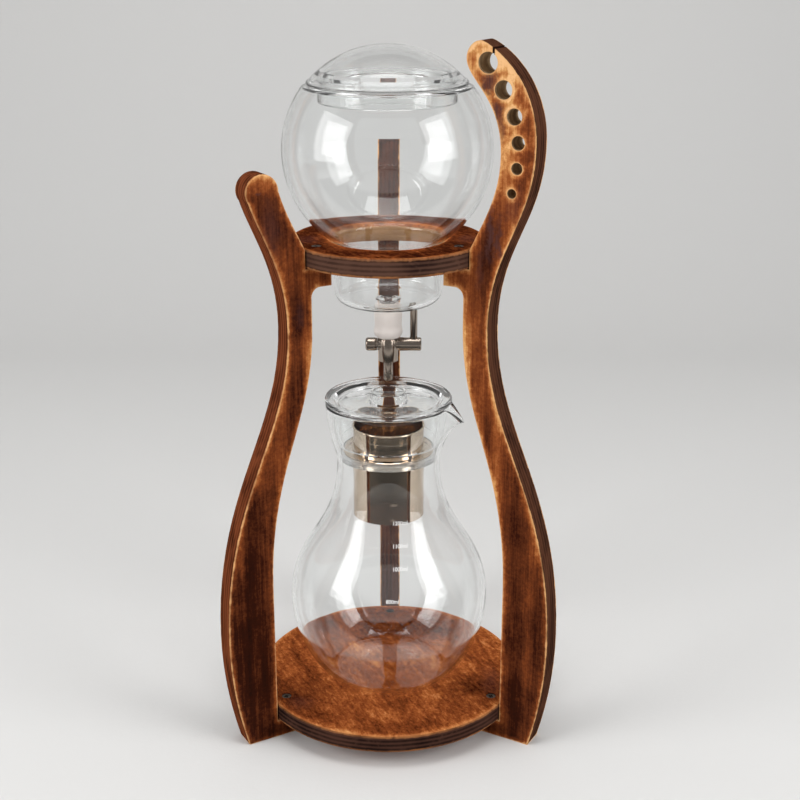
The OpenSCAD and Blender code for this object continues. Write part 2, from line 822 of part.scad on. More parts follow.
module cup_flange() {
    hub = 1;
    edge = 0.4;
    color(steel) rotate_extrude() polygon([
        [cup_r + flange_play, flange_z], [flange_r - edge, flange_z],
        [flange_r, flange_z + edge], [flange_r, flange_z + flange_t - edge],
        [flange_r - edge, flange_z + flange_t],
        [cup_r + hub, flange_z + flange_t], [cup_r + hub, flange_z + flange_t + hub],
        [cup_r + flange_play, flange_z + flange_t + hub]]);
}

module cup_seal() {
    levels = 4;
    in_r = cup_r + flange_play;
    color(silicone) rotate_extrude() polygon(concat(
        [[in_r, seal_z]],
        [for (i = [0:levels]) let (z = seal_z + seal_h * i / levels) [throat_r(z) - seal_gap, z]],
        [[in_r, flange_z]]));
}

module cup_bottom() {
    rings = floor((cup_in_r - mesh_hole_d) / mesh_pitch);
    color(steel) difference() {
        translate([0, 0, cup_z]) cylinder(r = cup_in_r - flange_play, h = mesh_t);
        translate([0, 0, cup_z - over]) {
            cylinder(d = mesh_hole_d, h = mesh_t + 2 * over, $fn = 16);
            for (k = [1:rings], i = [0:6 * k - 1])
                rotate([0, 0, i * 60 / k]) translate([k * mesh_pitch, 0, 0])
                    cylinder(d = mesh_hole_d, h = mesh_t + 2 * over, $fn = 16);
        }
    }
}

base_plate();
upper_plate();
leg_left();
leg_right();
leg_rear();
base_screws();
upper_screws();
globe();
globe_chamber();
globe_lid();
silicone_sleeve();
valve_body();
valve_plug();
plug_seals();
lever_rod();
nut_washer();
retaining_nut();
drip_tip();
carafe();
carafe_lid();
filter_cup();
cup_flange();
cup_seal();
cup_bottom();
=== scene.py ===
# Cold drip coffee tower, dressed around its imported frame. Metres, Z up, the drip axis on Z.
import math

import bmesh
import bpy
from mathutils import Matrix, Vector, bvhtree, kdtree


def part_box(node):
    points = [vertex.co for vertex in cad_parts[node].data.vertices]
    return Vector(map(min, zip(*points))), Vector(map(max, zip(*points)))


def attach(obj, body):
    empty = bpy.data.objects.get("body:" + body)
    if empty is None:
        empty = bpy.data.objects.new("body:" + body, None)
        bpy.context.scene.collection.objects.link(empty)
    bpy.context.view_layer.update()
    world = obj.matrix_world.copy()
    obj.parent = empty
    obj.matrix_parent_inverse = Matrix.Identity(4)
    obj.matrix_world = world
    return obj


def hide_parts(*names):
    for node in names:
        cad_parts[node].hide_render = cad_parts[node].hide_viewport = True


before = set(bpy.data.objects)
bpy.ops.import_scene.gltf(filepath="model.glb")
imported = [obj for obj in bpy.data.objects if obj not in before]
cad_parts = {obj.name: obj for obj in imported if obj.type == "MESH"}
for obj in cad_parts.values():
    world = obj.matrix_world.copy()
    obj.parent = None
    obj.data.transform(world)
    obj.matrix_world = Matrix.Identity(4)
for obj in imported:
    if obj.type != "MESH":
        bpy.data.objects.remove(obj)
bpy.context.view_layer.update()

mm = 0.001
weld = 2e-6             # points of a CAD mesh that are closer than this are one, m
tiny = 1e-6             # the same on an outline, m
straightUnder = 0.3     # points of an outline that turn less than this go, degrees
smoothUnder = 38        # an edge that turns less than this is shaded smooth, degrees


def newNode(tree, kind, inputs=None, **settings):
    node = tree.nodes.new(kind)
    for key, value in settings.items():
        setattr(node, key, value)
    for key, value in (inputs or {}).items():
        if isinstance(value, bpy.types.NodeSocket):
            tree.links.new(value, node.inputs[key])
        else:
            node.inputs[key].default_value = value
    return node


def mixColour(tree, factor, first, second):
    node = newNode(tree, "ShaderNodeMix", {0: factor}, data_type="RGBA")
    for slot, value in ((6, first), (7, second)):
        if isinstance(value, bpy.types.NodeSocket):
            tree.links.new(value, node.inputs[slot])
        else:
            node.inputs[slot].default_value = (*value, 1)
    return node.outputs[2]


def mathNode(tree, operation, *values, clamp=False):
    node = newNode(tree, "ShaderNodeMath", dict(enumerate(values)), operation=operation,
                   use_clamp=clamp)
    return node.outputs[0]


def vectorNode(tree, operation, *values):
    return newNode(tree, "ShaderNodeVectorMath", dict(enumerate(values)), operation=operation)


def rangeNode(tree, value, low, high, toLow=0.0, toHigh=1.0):
    node = newNode(tree, "ShaderNodeMapRange", {"Value": value, "From Min": low, "From Max": high,
                   "To Min": toLow, "To Max": toHigh}, interpolation_type="SMOOTHSTEP")
    return node.outputs["Result"]


def noiseNode(tree, place, scale, detail=3.0, roughness=0.55, distortion=0.0):
    return newNode(tree, "ShaderNodeTexNoise", {"Vector": place, "Scale": scale, "Detail": detail,
                   "Roughness": roughness, "Distortion": distortion}).outputs


def rampNode(tree, value, stops):
    node = newNode(tree, "ShaderNodeValToRGB", {"Fac": value})
    ramp = node.color_ramp
    for i, (place, colour) in enumerate(stops):
        stop = ramp.elements[i] if i < 2 else ramp.elements.new(place)
        stop.position = place
        stop.color = (*colour, 1)
    return node.outputs["Color"]


def newMaterial(name, values):
    material = bpy.data.materials.new(name)
    material.use_nodes = True
    tree = material.node_tree
    shader = tree.nodes["Principled BSDF"]
    for key, value in values.items():
        shader.inputs[key].default_value = value
    return material, tree, shader


def bumpInto(tree, shader, height, depth, strength=1.0):      # depth in mm
    bump = newNode(tree, "ShaderNodeBump", {"Height": height, "Distance": depth * mm,
                   "Strength": strength})
    tree.links.new(bump.outputs["Normal"], shader.inputs["Normal"])


# A material with a fine relief. values go into the shader's own sockets, and grain is the
# noise's scale and detail and the relief's depth in mm.
def grainedMaterial(name, values, grain, strength=1.0, stretch=None):
    material, tree, shader = newMaterial(name, values)
    scale, detail, depth = grain
    place = newNode(tree, "ShaderNodeTexCoord").outputs["Object"]
    if stretch:
        place = newNode(tree, "ShaderNodeMapping", {"Vector": place, "Scale": stretch}).outputs[0]
    bumpInto(tree, shader, noiseNode(tree, place, scale, detail)["Fac"], depth, strength)
    return material


def dressNode(node, material):               # a CAD node that stays gets its finish
    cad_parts[node].data.materials.clear()
    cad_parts[node].data.materials.append(material)


def mergedNode(name):                        # a copy of a CAD node's mesh, its points merged
    bm = bmesh.new()
    bm.from_mesh(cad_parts[name].data)
    bmesh.ops.remove_doubles(bm, verts=bm.verts, dist=weld)
    return bm


# Joins a node's triangles into faces where they turn less than flat, in degrees.
def nodeCopy(name, flat=0.4):
    bm = mergedNode(name)
    bmesh.ops.dissolve_limit(bm, angle_limit=math.radians(flat), verts=bm.verts, edges=bm.edges)
    return bm


def sharpEdges(bm, degrees):
    return [e for e in bm.edges
            if len(e.link_faces) == 2 and e.calc_face_angle(0) > math.radians(degrees)]


def bevelEdges(bm, edges, width, segments=2):
    bmesh.ops.bevel(bm, geom=edges, offset=width, offset_type="OFFSET", affect="EDGES",
                    segments=segments, profile=0.5, material=-1, clamp_overlap=True)


def meshObject(bm, name, material):
    mesh = bpy.data.meshes.new(name)
    bm.to_mesh(mesh)
    bm.free()
    mesh.materials.append(material)
    made = bpy.data.objects.new(name, mesh)
    bpy.context.scene.collection.objects.link(made)
    return made


def makePiece(bm, name, body, slot, material, nodes=()):
    for face in bm.faces:
        face.smooth = True
    for edge in bm.edges:
        edge.smooth = (len(edge.link_faces) == 2
                       and edge.calc_face_angle(0) < math.radians(smoothUnder))
    piece = meshObject(bm, name, material)
    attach(piece, body)
    if nodes:
        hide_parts(*nodes)
    if slot == "clear_glass":
        piece.visible_shadow = False         # clear glass takes little light from what is behind it
    return piece


# The outline of round nodes, cut through the drip axis and ready to spin
def cutProfile(names, side=1):
    bm = bmesh.new()
    for name in names:
        part = mergedNode(name)
        cut = bmesh.ops.bisect_plane(part, geom=part.verts[:] + part.edges[:] + part.faces[:],
                                     dist=tiny, plane_co=(0, 0, 0), plane_no=(0, 1, 0))
        kept = set(g for g in cut["geom_cut"] if isinstance(g, bmesh.types.BMEdge))
        bmesh.ops.delete(part, geom=[e for e in part.edges if e not in kept],
                         context="EDGES_FACES")
        bmesh.ops.delete(part, geom=[v for v in part.verts if not v.link_edges], context="VERTS")
        bmesh.ops.bisect_plane(part, geom=part.verts[:] + part.edges[:], dist=tiny,
                               plane_co=(0, 0, 0), plane_no=(side, 0, 0), clear_inner=True)
        held = bpy.data.meshes.new("held")
        part.to_mesh(held)
        part.free()
        bm.from_mesh(held)
        bpy.data.meshes.remove(held)
    bmesh.ops.dissolve_limit(bm, angle_limit=math.radians(straightUnder), verts=bm.verts,
                             edges=bm.edges)
    return bm


def spinProfile(bm, steps):
    bmesh.ops.spin(bm, geom=bm.verts[:] + bm.edges[:], cent=(0, 0, 0), axis=(0, 0, 1),
                   dvec=(0, 0, 0), angle=math.tau, steps=steps, use_merge=True)
    bmesh.ops.remove_doubles(bm, verts=bm.verts, dist=tiny)
    bmesh.ops.delete(bm, geom=[e for e in bm.edges if e.is_wire], context="EDGES")
    bmesh.ops.recalc_face_normals(bm, faces=bm.faces)
    return bm


view = {"place": (0.00755, -0.83579, 0.51235), "tilt": 70.724, "lens": 61.29, "sensor": 36}

cameraData = bpy.data.cameras.new("camera")
cameraData.lens = view["lens"]
cameraData.sensor_width = view["sensor"]
camera = bpy.data.objects.new("camera", cameraData)
camera.location = view["place"]
camera.rotation_euler = (math.radians(view["tilt"]), 0, 0)
bpy.context.scene.collection.objects.link(camera)
bpy.context.scene.camera = camera
print("camera set")


wood = {
    "sharpOver": 40,            # an edge that turns more is a sawn edge, degrees
    "edgeWidth": 0.7,           # sanded arris, mm
    "edgeSteps": 3,
    "gridStep": 3.0,            # spacing of the cuts that carry the wear, mm
    "sideStep": 2.2,            # the same across the sawn sides
    "wearReach": 10.0,          # how far from an edge the wear is measured, mm
    "stain": [                  # from scorched to thinly stained
        (0.10, (0.008, 0.003, 0.002)), (0.36, (0.034, 0.0065, 0.002)),
        (0.48, (0.10, 0.024, 0.0072)), (0.60, (0.19, 0.046, 0.012)),
        (0.70, (0.31, 0.085, 0.022)), (0.82, (0.50, 0.19, 0.058)),
        (0.93, (0.70, 0.35, 0.125)), (1.0, (0.86, 0.50, 0.23))],
    "rampScale": 2.0,           # the colour ramp ends at 1, the tower at 0.45 m
    "turbulence": 0.4,          # of the grain
    "sideFacing": (0.75, 0.45),           # how square to the plies a face is, from face to side
    "scorch": (0.075, 0.030, 0.026),
    "scorchGrain": (0.30, 0.62, 0.55, 1.1),
    "fray": (110.0, 4.0, 0.65),           # what frays the marks: noise
    "frayWidth": (0.014, 0.014, 0.022),   # m
    "markFade": (1.3, 0.3),     # where a mark starts and where it is full, in half sizes
    "chips": (240.0, 3.0, 0.65),          # what breaks up the worn edges: noise
    "chipAmounts": (0.5, 0.16),           # in the paler edges, in the bare ones
    "stretches": (45.0, 2.0),   # where edges are worn more and less: noise
    "liftReach": (0.42, 0.03),  # share of wearReach where an edge starts to be paler, is palest
    "inner": (0.5, 1.0, 0.0, -0.03),      # and how much darker it is away from the edges
    "bareReach": (0.12, 0.02),  # the same for edges sanded to the bare wood
    "bareStretches": (0.36, 0.58, 0.40, 1.0),
    "walls": {                  # of the holes: from grubby to clean
        "leg_right": ((0.22, 0.145, 0.085), (0.46, 0.32, 0.185)),
        "upper_plate": ((0.17, 0.09, 0.042), (0.32, 0.18, 0.088))},
    "wallGrime": (0.35, 0.65),
    "plyPitch": 1.5,            # thickness of one ply, mm
    "plyWave": 0.8,             # how far the plies stray, in plies
    "plyLine": (0.25, 0.75),    # from a dark ply to a pale one
    "sideGrime": (0.30, 0.80),  # from the sides' darkest colour to their palest
    "sideFlecks": (0.50, 0.70, 0.0, 0.6),
    "roughness": (0.3, 0.8, 0.50, 0.36),  # by tone
    "relief": (0.12, 0.7),      # depth in mm, strength
    "hookHoles": [              # radius, height, width, mm
        (70.8, 437.8, 12.2), (81.0, 423.1, 10.9), (88.3, 408.4, 9.6),
        (91.0, 393.7, 8.3), (90.7, 379.0, 7.0), (87.8, 364.3, 5.7)],
    "holeReach": 0.15,          # how far outside a hole its wall still counts, mm
    "slit": (74.25, 441.5),     # radius and foot of the saw cut above the first hole, mm
    "slitReach": 1.4,           # half the width within which edges belong to it, mm
    "slitShade": (0.9, 0.6),         # half width of its dark line of painted shade, outside and inside, mm
    "slitShadeColour": (0.02, 0.008, 0.005),
    "screwRadii": (79.0, 50.0),
    "screwReach": 4.2,          # edges this near a screw's centre stay crisp, mm
    "seatHole": 38.0,           # radius up to which the seat of the globe is bare, mm
}

boards = {
    "flatAxis": 1,              # the axis across the plies, once the grain's turn is taken out
    "stretch": (1.0, 1.0, 0.05),
    "layers": [                 # grain: pattern, scale, detail, roughness, amount
        ("along", 60.0, 3.0, 0.55, 0.62), ("along", 170.0, 4.0, 0.6, 0.42),
        ("patches", 26.0, 3.0, 0.55, 0.42), ("patches", 420.0, 3.0, 0.7, 0.30),
        ("along", 900.0, 3.0, 0.7, 0.30)],
    "edgeLift": 0.21,           # how much paler the stain is along the edges
    "bare": (0.74, 0.40, 0.17),
    "bareAmount": 0.95,
    "plyContrast": 0.16,
    "shine": 0.03,              # specular level of the varnish on the faces
    "shift": (0.3, 0.7, 0.2),   # moves the grain from board to board
}

plates = {
    "flatAxis": 2,
    "stretch": (0.30, 1.0, 1.0),
    "layers": [
        ("along", 45.0, 4.0, 0.6, 0.50), ("patches", 22.0, 4.0, 0.6, 0.35),
        ("patches", 170.0, 4.0, 0.75, 0.36), ("patches", 600.0, 3.0, 0.8, 0.40),
        ("along", 420.0, 4.0, 0.75, 0.62)],
    "edgeLift": 0.12,
    "bare": (0.50, 0.20, 0.070),
    "bareAmount": 0.55,
    "plyContrast": 0.22,
    "shine": 0.0,
    "shift": (0.1, 0.2, 0.0),
}

# Per node: the grain's turn in degrees, which for a board is where it stands, the tone by height
# in m, the sawn sides' darkest and palest colour, and single marks. A mark is its place and half
# size in mm, and an amount: on boards by radius and height, on plates by x and y. What lies paler
# or darker comes first, then what is scorched.
tones = {
    "leg_left": {
        "turn": 210,
        "climb": [(0.0, 0.40), (0.10, 0.43), (0.17, 0.49), (0.22, 0.50), (0.27, 0.56),
                  (0.31, 0.50), (0.345, 0.39), (0.375, 0.61), (0.39, 0.74)],
        # the left leg's paler sides are partly painted light from the left, over the plies' own
        # dark brown
        "sides": ((0.032, 0.009, 0.004), (0.17, 0.046, 0.018)),
        "marks": (
            [(87.5, 372, 9, 9, 0.15), (77.4, 296, 3, 16, 0.14), (78, 236, 6, 20, 0.08),
             (94.6, 186.2, 5, 18, 0.07), (109.5, 135, 3.5, 24, 0.11),
             (65.7, 285.3, 5, 14, -0.12), (108.7, 70.7, 9, 26, -0.05)],
            [(89.3, 365.0, 2.0, 1.8, 0.75), (83.5, 340, 7, 20, 0.35), (66.5, 288, 4, 10, 0.35)])},
    "leg_right": {
        "turn": 330,
        "climb": [(0.0, 0.385), (0.12, 0.445), (0.20, 0.57), (0.28, 0.66), (0.33, 0.56),
                  (0.37, 0.63), (0.40, 0.66), (0.425, 0.70), (0.45, 0.84)],
        "sides": ((0.022, 0.010, 0.007), (0.090, 0.036, 0.020)),
        "marks": (
            [(57.8, 447, 6, 4, 0.14), (54.2, 437.4, 4, 7, 0.12), (78.3, 439.6, 5, 9, 0.10),
             (91.6, 412.6, 5, 8, 0.05), (84.1, 389.4, 3.5, 10, 0.12), (66.4, 279, 4, 16, 0.05),
             (105, 105.7, 5, 20, 0.05)],
            [(71.7, 426, 6, 6, 0.9), (77.0, 410, 4.5, 9, 0.85), (80, 400, 3, 6, 0.5),
             (88, 358, 8, 13, 0.30), (74.5, 340, 2.6, 18, 0.9), (80, 336, 2.4, 15, 0.75),
             (69, 318, 3, 14, 0.35)])},
    "leg_rear": {
        "turn": 90,
        "climb": [(0.0, 0.40), (0.12, 0.44), (0.27, 0.56), (0.39, 0.60)],
        "sides": ((0.016, 0.005, 0.003), (0.075, 0.024, 0.012)),
        "marks": ([], [])},
    "base_plate": {
        "turn": -65,
        "climb": [(0.0, 0.63), (0.024, 0.63)],
        "sides": ((0.012, 0.006, 0.005), (0.07, 0.032, 0.022)),
        "marks": (
            [(-17.4, 21.2, 14, 9, 0.12), (-37.8, 0.4, 12, 8, 0.09), (27.5, -45, 7, 16, 0.10),
             (7.6, -63.2, 24, 12, 0.13), (-30, -28, 11, 9, -0.09), (-63.3, -32.5, 18, 22, -0.09),
             (61.6, -32.5, 20, 24, -0.09), (0, 60, 60, 26, -0.06)],
            [(-58, -48, 10, 9, 0.25), (70, -20, 8, 20, 0.25)])},
    "upper_plate": {
        "turn": -50,
        "climb": [(0.316, 0.41), (0.328, 0.41)],
        "sides": ((0.022, 0.011, 0.009), (0.10, 0.050, 0.034)),
        "marks": (
            [(-1.3, -52.3, 16, 7, 0.10), (-20, -48, 6, 6, -0.08), (20, -48, 6, 6, -0.06)],
            [(-50, -8, 8, 12, 0.3), (50, -6, 8, 12, 0.3)])},
}
legTurns = {node: own["turn"] for node, own in tones.items() if node.startswith("leg_")}


def breakUp(tree, value, noise, amount):     # the noise is as often above as below
    return mathNode(tree, "ADD", value, mathNode(tree, "MULTIPLY_ADD", noise, amount, -amount / 2))


def sumNodes(tree, *values):
    total = values[0]
    for value in values[1:]:
        total = mathNode(tree, "ADD", total, value)
    return total


# Sums soft spots. A board's lie in X and Z, a plate's in X and Y.
def markField(tree, place, spots, flatAxis):
    total = 0.0
    for u, v, uHalf, vHalf, amount in spots:
        scale = [1 / (uHalf * mm), 1 / (vHalf * mm)]
        shift = [-u / uHalf, -v / vHalf]
        for pair in (scale, shift):
            pair.insert(flatAxis, 0)
        local = newNode(tree, "ShaderNodeMapping", {"Vector": place, "Location": shift,
                        "Scale": scale}).outputs[0]
        reach = vectorNode(tree, "LENGTH", local).outputs["Value"]
        total = mathNode(tree, "ADD", total,
                         rangeNode(tree, reach, *wood["markFade"], 0.0, amount))
    return total


# Stained, scorched plywood. look is boards or plates.
def plyMaterial(node, look, shift):
    own, flatAxis = tones[node], look["flatAxis"]
    material, tree, shader = newMaterial(node + "Ply", {"Specular IOR Level": 0.0})
    coords = newNode(tree, "ShaderNodeTexCoord").outputs
    turnBack = (0, 0, -math.radians(own["turn"]))     # brings the board's own axes to X and Y
    turned = newNode(tree, "ShaderNodeMapping", {"Vector": coords["Object"],
                     "Rotation": turnBack}).outputs[0]
    facing = newNode(tree, "ShaderNodeMapping", {"Vector": coords["Normal"],
                     "Rotation": turnBack}, vector_type="NORMAL").outputs[0]
    moved = vectorNode(tree, "ADD", turned, shift).outputs[0]
    along = vectorNode(tree, "MULTIPLY", moved, look["stretch"]).outputs[0]
    split = newNode(tree, "ShaderNodeSeparateXYZ", {0: turned}).outputs
    square = newNode(tree, "ShaderNodeSeparateXYZ", {0: facing}).outputs[flatAxis]
    wear = newNode(tree, "ShaderNodeAttribute", attribute_name="wear").outputs["Fac"]
    bare = newNode(tree, "ShaderNodeAttribute", attribute_name="bare").outputs["Fac"]
    sideShare = rangeNode(tree, mathNode(tree, "ABSOLUTE", square), *wood["sideFacing"])

    # broad faces: a tone that follows the height, broken up by the grain, the wear and the marks
    height = mathNode(tree, "MULTIPLY", split["Z"], wood["rampScale"])
    tone = rampNode(tree, height, [(z * wood["rampScale"], (t, t, t)) for z, t in own["climb"]])
    fields = []
    for pattern, scale, detail, roughness, amount in look["layers"]:
        field = noiseNode(tree, along if pattern == "along" else moved, scale, detail, roughness,
                          wood["turbulence"])["Fac"]
        tone = breakUp(tree, tone, field, amount)
        fields.append(field)
    width = wood["frayWidth"]
    frayed = noiseNode(tree, coords["Object"], *wood["fray"])["Color"]
    frayed = vectorNode(tree, "MULTIPLY_ADD", frayed, width, [-w / 2 for w in width]).outputs[0]
    place = vectorNode(tree, "ADD", turned if look is boards else coords["Object"],
                       frayed).outputs[0]
    lifts, scorches = own["marks"]
    chips = noiseNode(tree, moved, *wood["chips"])["Fac"]
    rubbed = breakUp(tree, wear, chips, wood["chipAmounts"][0])
    tone = sumNodes(tree, tone, markField(tree, place, lifts, flatAxis),
                    rangeNode(tree, rubbed, *wood["liftReach"], 0.0, look["edgeLift"]),
                    rangeNode(tree, wear, *wood["inner"]))
    face = rampNode(tree, tone, wood["stain"])
    burn = mathNode(tree, "MULTIPLY", markField(tree, place, scorches, flatAxis),
                    rangeNode(tree, fields[-1], *wood["scorchGrain"]), clamp=True)
    face = mixColour(tree, burn, face, wood["scorch"])

    # sawn sides with their plies
    depth = mathNode(tree, "DIVIDE", split[flatAxis], wood["plyPitch"] * mm)
    depth = mathNode(tree, "ADD", depth, mathNode(tree, "MULTIPLY", fields[0], wood["plyWave"]))
    lines = rangeNode(tree, mathNode(tree, "PINGPONG", depth, 1.0), *wood["plyLine"])
    grime = mathNode(tree, "MULTIPLY_ADD", lines, look["plyContrast"], fields[1])
    side = mixColour(tree, rangeNode(tree, grime, *wood["sideGrime"]), *own["sides"])
    flecks = rangeNode(tree, fields[2], *wood["sideFlecks"])
    side = mixColour(tree, flecks, side, own["sides"][1])
    colour = mixColour(tree, sideShare, face, side)

    # edges sanded through to the bare wood, here more and there less
    worn = breakUp(tree, wear, chips, wood["chipAmounts"][1])
    stretches = noiseNode(tree, moved, *wood["stretches"])["Fac"]
    worn = mathNode(tree, "MULTIPLY",
                    rangeNode(tree, worn, *wood["bareReach"], 0.0, look["bareAmount"]),
                    rangeNode(tree, stretches, *wood["bareStretches"]))
    colour = mixColour(tree, worn, colour, look["bare"])
    if node in wood["walls"]:
        grubby = rangeNode(tree, fields[1], *wood["wallGrime"])
        colour = mixColour(tree, mathNode(tree, "MULTIPLY", bare, sideShare), colour,
                           mixColour(tree, grubby, *wood["walls"][node]))
    if node == "leg_right":                  # the saw cut's shade is painted on as a thin dark line
        radius, foot = wood["slit"]
        off = mathNode(tree, "ABSOLUTE", mathNode(tree, "SUBTRACT", split["X"], radius * mm))
        slitShade = mathNode(tree, "MULTIPLY", rangeNode(tree, off, *(w * mm for w in wood["slitShade"])),
                        mathNode(tree, "GREATER_THAN", split["Z"], foot * mm))
        colour = mixColour(tree, slitShade, colour, wood["slitShadeColour"])
    tree.links.new(colour, shader.inputs["Base Color"])
    tree.links.new(rangeNode(tree, tone, *wood["roughness"]), shader.inputs["Roughness"])
    if look["shine"]:                        # the sawn sides have none
        tree.links.new(rangeNode(tree, sideShare, 0.0, 1.0, look["shine"], 0.0),
                       shader.inputs["Specular IOR Level"])
    relief = sumNodes(tree, fields[-1], mathNode(tree, "MULTIPLY", lines, sideShare), fields[3])
    bumpInto(tree, shader, relief, *wood["relief"])
    return material


def outwards(turn):                          # away from the drip axis
    return Vector((math.cos(math.radians(turn)), math.sin(math.radians(turn)), 0))


screwPlaces = [outwards(turn) * radius * mm
               for radius in wood["screwRadii"] for turn in legTurns.values()]
screws = kdtree.KDTree(len(screwPlaces))
for i, place in enumerate(screwPlaces):
    screws.insert(place, i)
screws.balance()


def nearScrew(edge):
    return all(screws.find((v.co.x, v.co.y, 0))[2] < wood["screwReach"] * mm for v in edge.verts)


def onSlit(edge):
    radius, foot = wood["slit"]
    radial = outwards(legTurns["leg_right"])
    return all(v.co.z > foot * mm and abs(v.co.dot(radial) - radius * mm) < wood["slitReach"] * mm
               for v in edge.verts)


# Sands a wooden node's edges, except those for which keepCrisp holds, cuts it into a fine grid
# and writes how far each point is from a sanded edge. cuts are planes' directions with their
# spacing, and bareRods are [point, direction, radius] of what was never stained.
def wearPiece(name, node, slot, material, cuts, bareRods=(), keepCrisp=None):
    bm = nodeCopy(node)
    rims = [e for e in sharpEdges(bm, wood["sharpOver"]) if not (keepCrisp and keepCrisp(e))]
    points = []
    for edge in rims:
        a, b = (v.co.copy() for v in edge.verts)
        count = max(1, int((b - a).length / mm))
        points += [a.lerp(b, i / count) for i in range(count + 1)]
    tree = kdtree.KDTree(len(points))
    for i, point in enumerate(points):
        tree.insert(point, i)
    tree.balance()
    bevelEdges(bm, rims, wood["edgeWidth"] * mm, wood["edgeSteps"])
    for axis, spacing in cuts:
        axis = Vector(axis)
        places = [v.co.dot(axis) for v in bm.verts]
        low, high = min(places), max(places)
        count = round((high - low) / (spacing * mm))
        for i in range(1, count):
            bmesh.ops.bisect_plane(bm, geom=bm.verts[:] + bm.edges[:] + bm.faces[:],
                                   dist=0.1 * tiny, plane_no=axis,
                                   plane_co=axis * (low + (high - low) * i / count))
    wearLayer = bm.verts.layers.float.new("wear")
    bareLayer = bm.verts.layers.float.new("bare")
    for vert in bm.verts:
        vert[wearLayer] = min(1.0, tree.find(vert.co)[2] / (wood["wearReach"] * mm))
        for point, direction, radius in bareRods:
            off = vert.co - Vector(point)
            if (off - direction * off.dot(direction)).length < radius:
                vert[bareLayer] = 1.0
    piece = makePiece(bm, name, "stand", slot, material, [node])
    piece.modifiers.new("flatFaces", "WEIGHTED_NORMAL").keep_sharp = True


for i, (node, turn) in enumerate(legTurns.items()):
    radial = outwards(turn)
    across = Vector((-radial.y, radial.x, 0))
    rods, keepCrisp = [], None
    if node == "leg_right":
        rods = [(radial * r * mm + Vector((0, 0, z * mm)), across,
                 (width / 2 + wood["holeReach"]) * mm) for r, z, width in wood["hookHoles"]]
        keepCrisp = onSlit
    material = plyMaterial(node, boards, [i * s for s in boards["shift"]])
    wearPiece("board_" + node[4:], node, "leg_wood", material,
              [((0, 0, 1), wood["gridStep"]), (radial, wood["gridStep"]),
               (across, wood["sideStep"])], rods, keepCrisp)

for node in ("base_plate", "upper_plate"):
    rods = []
    if node == "upper_plate":
        rods = [((0, 0, 0), Vector((0, 0, 1)), wood["seatHole"] * mm)]
    wearPiece(node + "_wood", node, "plate_wood", plyMaterial(node, plates, plates["shift"]),
              [((1, 0, 0), wood["gridStep"]), ((0, 1, 0), wood["gridStep"]),
               ((0, 0, 1), wood["sideStep"])], rods, nearScrew)
print("wood done")


screwLook = {
    # the screws' near-black colour is painted shade and painted dark reflection in their recesses
    "steel": {"Base Color": (0.075, 0.058, 0.044, 1), "Metallic": 1.0, "Roughness": 0.33},
    "grain": (900.0, 3.0, 0.04),
}

screwSteelPaintedShade = grainedMaterial("screwSteelPaintedShade", screwLook["steel"], screwLook["grain"])
for node in ("base_screws", "upper_screws"):
    dressNode(node, screwSteelPaintedShade)
print("screws done")


glassLook = {
    "glass": {"Base Color": (0.985, 0.993, 0.992, 1), "Roughness": 0.0, "IOR": 1.43,
              "Transmission Weight": 1.0},
    "waves": (22.0, 2.0, 0.6), "waveStrength": 0.35,
    "steps": 144,               # round a full turn
    "gap": 0.18,                # left under touching rims and feet, so that no faces coincide, mm
    "lidHollow": (42.3, 426.2),           # radius and height of the hollow below the lid's flange
    "poles": ((25.0, 27.0), (27.5, 29.0)),     # heights of the carafe's middle, below and above, mm
}

glass = grainedMaterial("clearGlass", glassLook["glass"], glassLook["waves"],
                        glassLook["waveStrength"])

bm = cutProfile(["globe", "globe_chamber"])
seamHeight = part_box("globe")[0][2]
seam = [e for e in bm.edges if abs(e.verts[0].co.z - e.verts[1].co.z) < tiny
        and abs(e.verts[0].co.z - seamHeight) < 10 * tiny]
bmesh.ops.delete(bm, geom=seam, context="EDGES_FACES")
bmesh.ops.remove_doubles(bm, verts=bm.verts, dist=10 * tiny)
globeTop = max(v.co.z for v in bm.verts)
for vert in bm.verts:
    vert.co.z = min(vert.co.z, globeTop - glassLook["gap"] * mm)
makePiece(spinProfile(bm, glassLook["steps"]), "globe_glass", "globe", "clear_glass", glass,
          ["globe", "globe_chamber"])
bm = cutProfile(["globe_lid"])
hollowRadius, hollowHeight = (n * mm for n in glassLook["lidHollow"])
for vert in bm.verts:                        # the flange is blown, and hollow below
    if abs(vert.co.z - globeTop) < 10 * tiny and abs(vert.co.x - hollowRadius) < 0.1 * mm:
        vert.co.z = hollowHeight
makePiece(spinProfile(bm, glassLook["steps"]), "globe_lid_glass", "globe_lid", "clear_glass",
          glass, ["globe_lid"])
makePiece(spinProfile(cutProfile(["carafe_lid"]), glassLook["steps"]), "carafe_lid_glass",
          "carafe_lid", "clear_glass", glass, ["carafe_lid"])

carafeSpout = {
    "root": 191.5,              # height at which it starts, mm
    "rim": 41.0,                # radius of the rim, mm
    "tip": (50.0, 204.8),       # radius and height, mm
    "spread": 30,               # to each side, degrees
    "taper": 2.2, "reachCurve": 1.6, "dropCurve": 1.8, "pinch": 0.45,
}
bm = cutProfile(["carafe"], -1)
for low, high in glassLook["poles"]:         # one point per pole
    pole = [v for v in bm.verts if abs(v.co.x) < 0.1 * mm and low * mm < v.co.z < high * mm]
    bmesh.ops.pointmerge(bm, verts=pole, merge_co=(0, 0, min(v.co.z for v in pole)))
carafeFoot = min(v.co.z for v in bm.verts)
for vert in bm.verts:
    vert.co.z = max(vert.co.z, carafeFoot + glassLook["gap"] * mm)
spinProfile(bm, glassLook["steps"])
rimHeight = max(v.co.z for v in bm.verts)
root, rim, tipRadius, tipHeight = (
    n * mm for n in (carafeSpout["root"], carafeSpout["rim"], *carafeSpout["tip"]))
